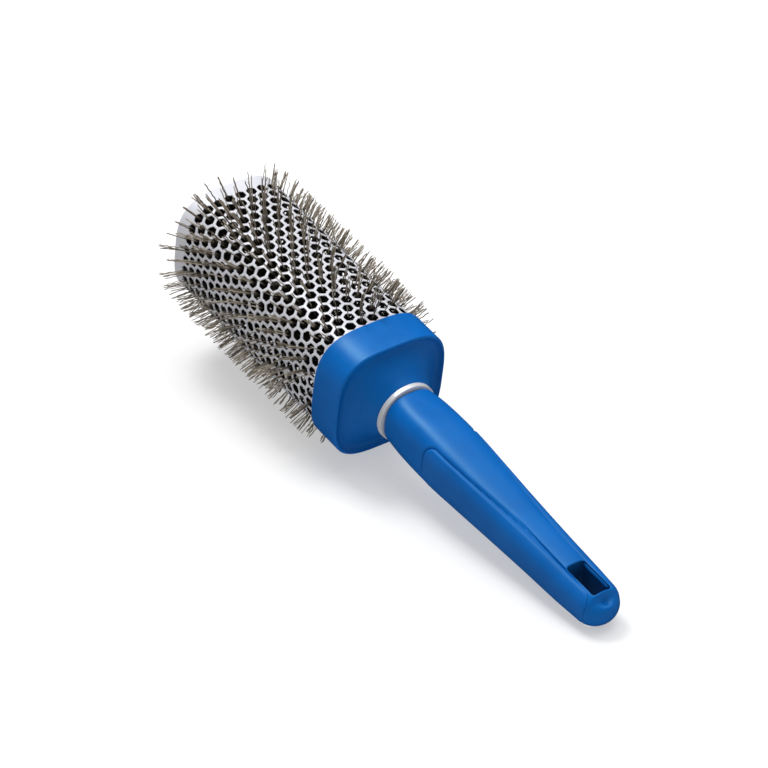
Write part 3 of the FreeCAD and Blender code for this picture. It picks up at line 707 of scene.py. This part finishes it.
def make_cap():
    """The cap in the free end, a little domed, set inside the barrel's rim."""
    profile = [(CAP_START, CAP_HALF - CAP_WALL), (CAP_START, CAP_HALF), (CAP_EDGE, CAP_HALF)]
    profile += arc(CAP_EDGE, CAP_HALF - CAP_ROUND, CAP_ROUND, 90, 0, steps=4)
    profile += spread(CAP_DOME, steps=6)
    rows = []
    for x, half in profile:
        share = min(max(half / CAP_HALF, 0), 1)
        rows.append((x, half, 2.0 + (BARREL_POWER - 2.0) * share))
    # the cap's back and skirt, hidden inside the barrel, are painted black as shade
    piece = turned("end_cap_moulding", rows, [BLUE, BLACK_AND_SHADE], painted_shade_rows=2)
    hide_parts("end_cap")


# ---------------------------------------------------------------- handle

def smooth_value(table, x):
    """Cubic interpolation through the stations."""
    knots = np.array([row[0] for row in table])[::-1]
    values = np.array([row[1] for row in table])[::-1]
    slope = np.gradient(values, knots)
    i = np.clip(np.searchsorted(knots, x) - 1, 0, len(knots) - 2)
    width = knots[i + 1] - knots[i]
    t = np.clip((x - knots[i]) / width, 0, 1)
    return (
        values[i] * (1 + 2 * t) * (1 - t) ** 2 + slope[i] * width * t * (1 - t) ** 2
        + values[i + 1] * t * t * (3 - 2 * t) + slope[i + 1] * width * t * t * (t - 1)
    )


def handle_rows():
    """Places of the sections along the handle, closer together at its two ends."""
    straight = np.arange(HANDLE_FRONT - SHOULDER_ROUND, TAIL_X, -HANDLE_STEP)
    shoulder = [HANDLE_FRONT - SHOULDER_ROUND * (1 - math.cos(math.radians(a))) for a in range(0, 90, 15)]
    dome = [TAIL_X - TAIL_RADIUS * math.sin(math.radians(a)) for a in range(0, 89, 2)]
    return np.concatenate([shoulder, straight, dome])


def smooth_step(start, end, x):
    """A smooth change from 0 at start to 1 at end."""
    t = np.clip((x - start) / (end - start), 0, 1)
    return t * t * (3 - 2 * t)


def rounded_distance(u, v, half_u, half_v, corner):
    """Signed distance to a rounded rectangle, negative inside."""
    qu, qv = np.abs(u) - half_u + corner, np.abs(v) - half_v + corner
    outside = np.hypot(np.maximum(qu, 0), np.maximum(qv, 0))
    return outside + np.minimum(np.maximum(qu, qv), 0) - corner


def panel_distance(points):
    """Signed distance to the nearer grip panel's outline, seen from the side."""
    x, z = points[..., 0], points[..., 2]
    middle, half_length = (PANEL_FRONT + PANEL_BACK) / 2, (PANEL_FRONT - PANEL_BACK) / 2
    share = (PANEL_FRONT - x) / (PANEL_FRONT - PANEL_BACK)
    half_height = PANEL_FRONT_HALF + (PANEL_BACK_HALF - PANEL_FRONT_HALF) * np.clip(share, 0, 1)
    outline = rounded_distance(x - middle, z, half_length, half_height, PANEL_CORNER)
    return np.maximum(outline, SPINE_HALF - np.abs(points[..., 1]))


def slot_distance(points):
    """Signed distance to the slot's outline, seen from above."""
    x, y = points[..., 0], points[..., 1]
    middle, half_length = (SLOT_FRONT + SLOT_BACK) / 2, (SLOT_FRONT - SLOT_BACK) / 2
    return rounded_distance(x - middle, y, half_length, SLOT_HALF, SLOT_CORNER)


def handle_skin(columns=240):
    """The handle's skin as rows of points, before grooves are cut."""
    angles = np.arange(columns) * 2 * math.pi / columns
    start = STATIONS[0][0]
    rows = []
    for x in handle_rows():
        inner = min(max(x, TAIL_X), start)
        width, above, below, power = (
            float(smooth_value([(row[0], row[k]) for row in STATIONS], inner)) for k in (1, 2, 3, 4)
        )
        shrink, drop = 1.0, 0.0
        if x < TAIL_X:
            reach = (TAIL_X - x) / TAIL_RADIUS
            shrink = math.sqrt(max(1 - reach ** 2, 0))
            power = power + (2.0 - power) * reach
        if x > start - SHOULDER_ROUND:
            edge = (x - (start - SHOULDER_ROUND)) / SHOULDER_ROUND
            drop = SHOULDER_ROUND * (1 - math.sqrt(max(1 - edge ** 2, 0)))
        above, below, width = (size * shrink - drop for size in (above, below, width))
        rows.append(section_points(x, above, below, width, power, angles))
    return np.array(rows)


def lower(points, depth):
    """Move skin points towards the handle's axis."""
    radius = np.hypot(points[..., 1], points[..., 2])
    scale = np.maximum(1 - depth / np.maximum(radius, LEAST_RADIUS), 0)
    moved = points.copy()
    moved[..., 1] *= scale
    moved[..., 2] *= scale
    return moved


def scoop_depth(skin):
    """How deep the thumb scoop is at each point of the skin."""
    x, y, z = skin[..., 0], skin[..., 1], skin[..., 2]
    depth = SCOOP_DEPTH * smooth_step(SCOOP_X, SCOOP_X - SCOOP_WALL, x) * np.exp(-(y / SCOOP_HALF) ** 2)
    return depth * smooth_step(0, SCOOP_TOP, z) * smooth_step(TAIL_END, TAIL_END + SCOOP_RUNOUT, x)


def make_handle():
    """Handle moulding and two grip panels that share one skin and meet in a groove."""
    skin = handle_skin()
    count, columns = skin.shape[:2]
    panel = panel_distance(skin)
    fade = np.clip((skin[..., 0] - GROOVE_FADE[0]) / (GROOVE_FADE[1] - GROOVE_FADE[0]), 0, 1)
    groove = fade * GROOVE_DEPTH * np.exp(-(panel / GROOVE_WIDTH) ** 2)
    roll = SLOT_ROUND * np.clip(1 - (slot_distance(skin) + ROLL_OFFSET) / SLOT_ROUND, 0, 1) ** 2 * ROLL_SHARE
    relief = groove + roll + scoop_depth(skin)
    seat = np.clip(-panel / SEAT_EDGE, 0, 1) * SEAT_DEPTH
    body = lower(skin, relief + seat)
    faces = grid_faces(count, columns) + end_faces(count, columns)
    ends = np.array([[skin[0, 0, 0], 0, 0], [TAIL_END, 0, 0]])
    points = np.concatenate([body.reshape(-1, 3), ends])
    handle = mesh_piece("handle_moulding", points, faces, [BLUE, SLOT_SHADE_BLUE])
    weld(handle, WELD_SKIN)
    cut_slot(handle)
    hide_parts("handle_body")
    rise = fade * PANEL_RISE * np.clip(-panel / PANEL_EDGE, 0, 1)
    tuck = TUCK_SLOPE * np.maximum(panel, 0)
    for side, sign in (("left", 1), ("right", -1)):
        make_panel(side, sign, lower(skin, relief - rise + tuck), panel)


def make_panel(side, sign, skin, panel):
    """One grip panel: the skin inside the outline, given a thickness."""
    count, columns = skin.shape[:2]
    inside = (panel < PANEL_TUCK) & (skin[..., 1] * sign > 0)
    faces = []
    for i in range(count - 1):
        for j in range(columns):
            k = (j + 1) % columns
            if inside[i, j] and inside[i, k] and inside[i + 1, j] and inside[i + 1, k]:
                faces.append(((i, j), (i, k), (i + 1, k), (i + 1, j)))
    used = sorted(set(corner for face in faces for corner in face))
    index = {corner: number for number, corner in enumerate(used)}
    points = np.array([skin[corner] for corner in used])
    faces = [tuple(index[corner] for corner in face) for face in faces]
    piece = mesh_piece(side + "_grip", points, faces, [SOFT_BLUE])
    weld(piece, WELD_SKIN)
    thicken(piece, PANEL_THICKNESS * MM)
    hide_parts(side + "_grip_panel")


def thicken(piece, depth):
    """Give an open skin a thickness on its inner side."""
    work = bmesh.new()
    work.from_mesh(piece.data)
    outward = sum(face.normal.y * face.calc_center_median().y for face in work.faces)
    if outward < 0:
        bmesh.ops.reverse_faces(work, faces=work.faces)
    work.to_mesh(piece.data)
    work.free()
    solid = piece.modifiers.new("thickness", "SOLIDIFY")
    solid.thickness = depth
    solid.offset = -1
    apply_modifiers(piece)


def slot_cutter():
    """A block with the slot's outline, tall enough to pass through the handle."""
    middle, half_length = (SLOT_FRONT + SLOT_BACK) / 2, (SLOT_FRONT - SLOT_BACK) / 2
    outline = []
    for cx, cy, start in ((1, 1, 0), (-1, 1, 90), (-1, -1, 180), (1, -1, 270)):
        centre_x = middle + cx * (half_length - SLOT_CORNER)
        centre_y = cy * (SLOT_HALF - SLOT_CORNER)
        outline += arc(centre_x, centre_y, SLOT_CORNER, start, start + 90, steps=8)
    size = len(outline)
    points = [(x, y, z) for z in (-CUTTER_REACH, CUTTER_REACH) for x, y in outline]
    faces = [tuple(reversed(range(size))), tuple(range(size, 2 * size))]
    for i in range(size):
        j = (i + 1) % size
        faces.append((i, j, size + j, size + i))
    mesh = bpy.data.meshes.new("slot_cutter")
    mesh.from_pydata(to_row(np.array(points, float)).tolist(), [], faces)
    # the walls it cuts take this darker blue, painted shade
    mesh.materials.append(SLOT_SHADE_BLUE)
    mesh.update()
    return link("slot_cutter", mesh)


def cut_slot(handle):
    """Cut the hanging slot through the handle and keep its edges sharp."""
    cutter = slot_cutter()
    cut = handle.modifiers.new("slot", "BOOLEAN")
    cut.operation = "DIFFERENCE"
    cut.solver = "EXACT"
    cut.object = cutter
    cut.material_mode = "TRANSFER"
    bpy.context.view_layer.update()
    apply_modifiers(handle)
    bpy.data.objects.remove(cutter)
    handle.data.set_sharp_from_angle(angle=math.radians(SHARP_ANGLE))


# ---------------------------------------------------------------- pieces kept from the CAD model

def finish_cad_nodes():
    """Give the hidden pieces, which keep their CAD shapes, materials of their own."""
    finishes = {
        "barrel_plug": BLACK_AND_SHADE, "wire_ferrule": ALUMINIUM, "end_bush": BRASS,
        "core_wire_a": STEEL, "core_wire_b": STEEL,
    }
    for name, material in finishes.items():
        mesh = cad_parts[name].data
        mesh.materials.clear()
        mesh.materials.append(material)


# ---------------------------------------------------------------- stage, light and camera

def make_floor():
    """A plain pale floor that glows a little and doesn't show in reflections."""
    material, shader = new_material("floor_white", (FLOOR_TONE,) * 3, 0.9)
    shader.inputs["Emission Color"].default_value = (1, 1, 1, 1)
    shader.inputs["Emission Strength"].default_value = FLOOR_GLOW
    shader.inputs["Specular IOR Level"].default_value = 0.1
    mesh = bpy.data.meshes.new("floor")
    half = FLOOR_HALF
    corners = [(-half, -half, 0), (half, -half, 0), (half, half, 0), (-half, half, 0)]
    mesh.from_pydata(corners, [], [(0, 1, 2, 3)])
    mesh.materials.append(material)
    floor = link("floor", mesh)
    floor.visible_glossy = False


def make_light():
    """A pale world that only lights, and two soft lamps."""
    world = bpy.data.worlds.new("studio")
    world.use_nodes = True
    background = world.node_tree.nodes["Background"]
    background.inputs["Color"].default_value = (1, 1, 1, 1)
    background.inputs["Strength"].default_value = WORLD_STRENGTH
    world.cycles_visibility.glossy = False
    bpy.context.scene.world = world
    for name, place, size, power in LAMPS:
        light = bpy.data.lights.new(name, "AREA")
        light.size = size
        light.energy = power
        lamp = link(name, light)
        lamp.location = place
        aim = Vector(LAMP_TARGET) - Vector(place)
        lamp.rotation_euler = aim.to_track_quat("-Z", "Y").to_euler()


def make_camera():
    """The camera, held in the brush's frame and carried into the row's frame."""
    turn = PLACE.to_3x3() @ Matrix((VIEW_RIGHT, VIEW_UP, VIEW_BACK)).transposed()
    data = bpy.data.cameras.new("camera")
    data.lens = VIEW_LENS
    data.sensor_width = VIEW_SENSOR
    data.clip_end = VIEW_LIMIT
    camera = link("camera", data)
    camera.location = PLACE @ (Vector(VIEW_TARGET) + Vector(VIEW_BACK) * VIEW_DISTANCE)
    camera.rotation_euler = turn.to_quaternion().to_euler()
    bpy.context.scene.camera = camera


make_barrel()
make_bristles()
make_collar()
make_ring()
make_cap()
make_handle()
finish_cad_nodes()
make_floor()
make_light()
make_camera()
bpy.context.scene.view_settings.view_transform = "Standard"
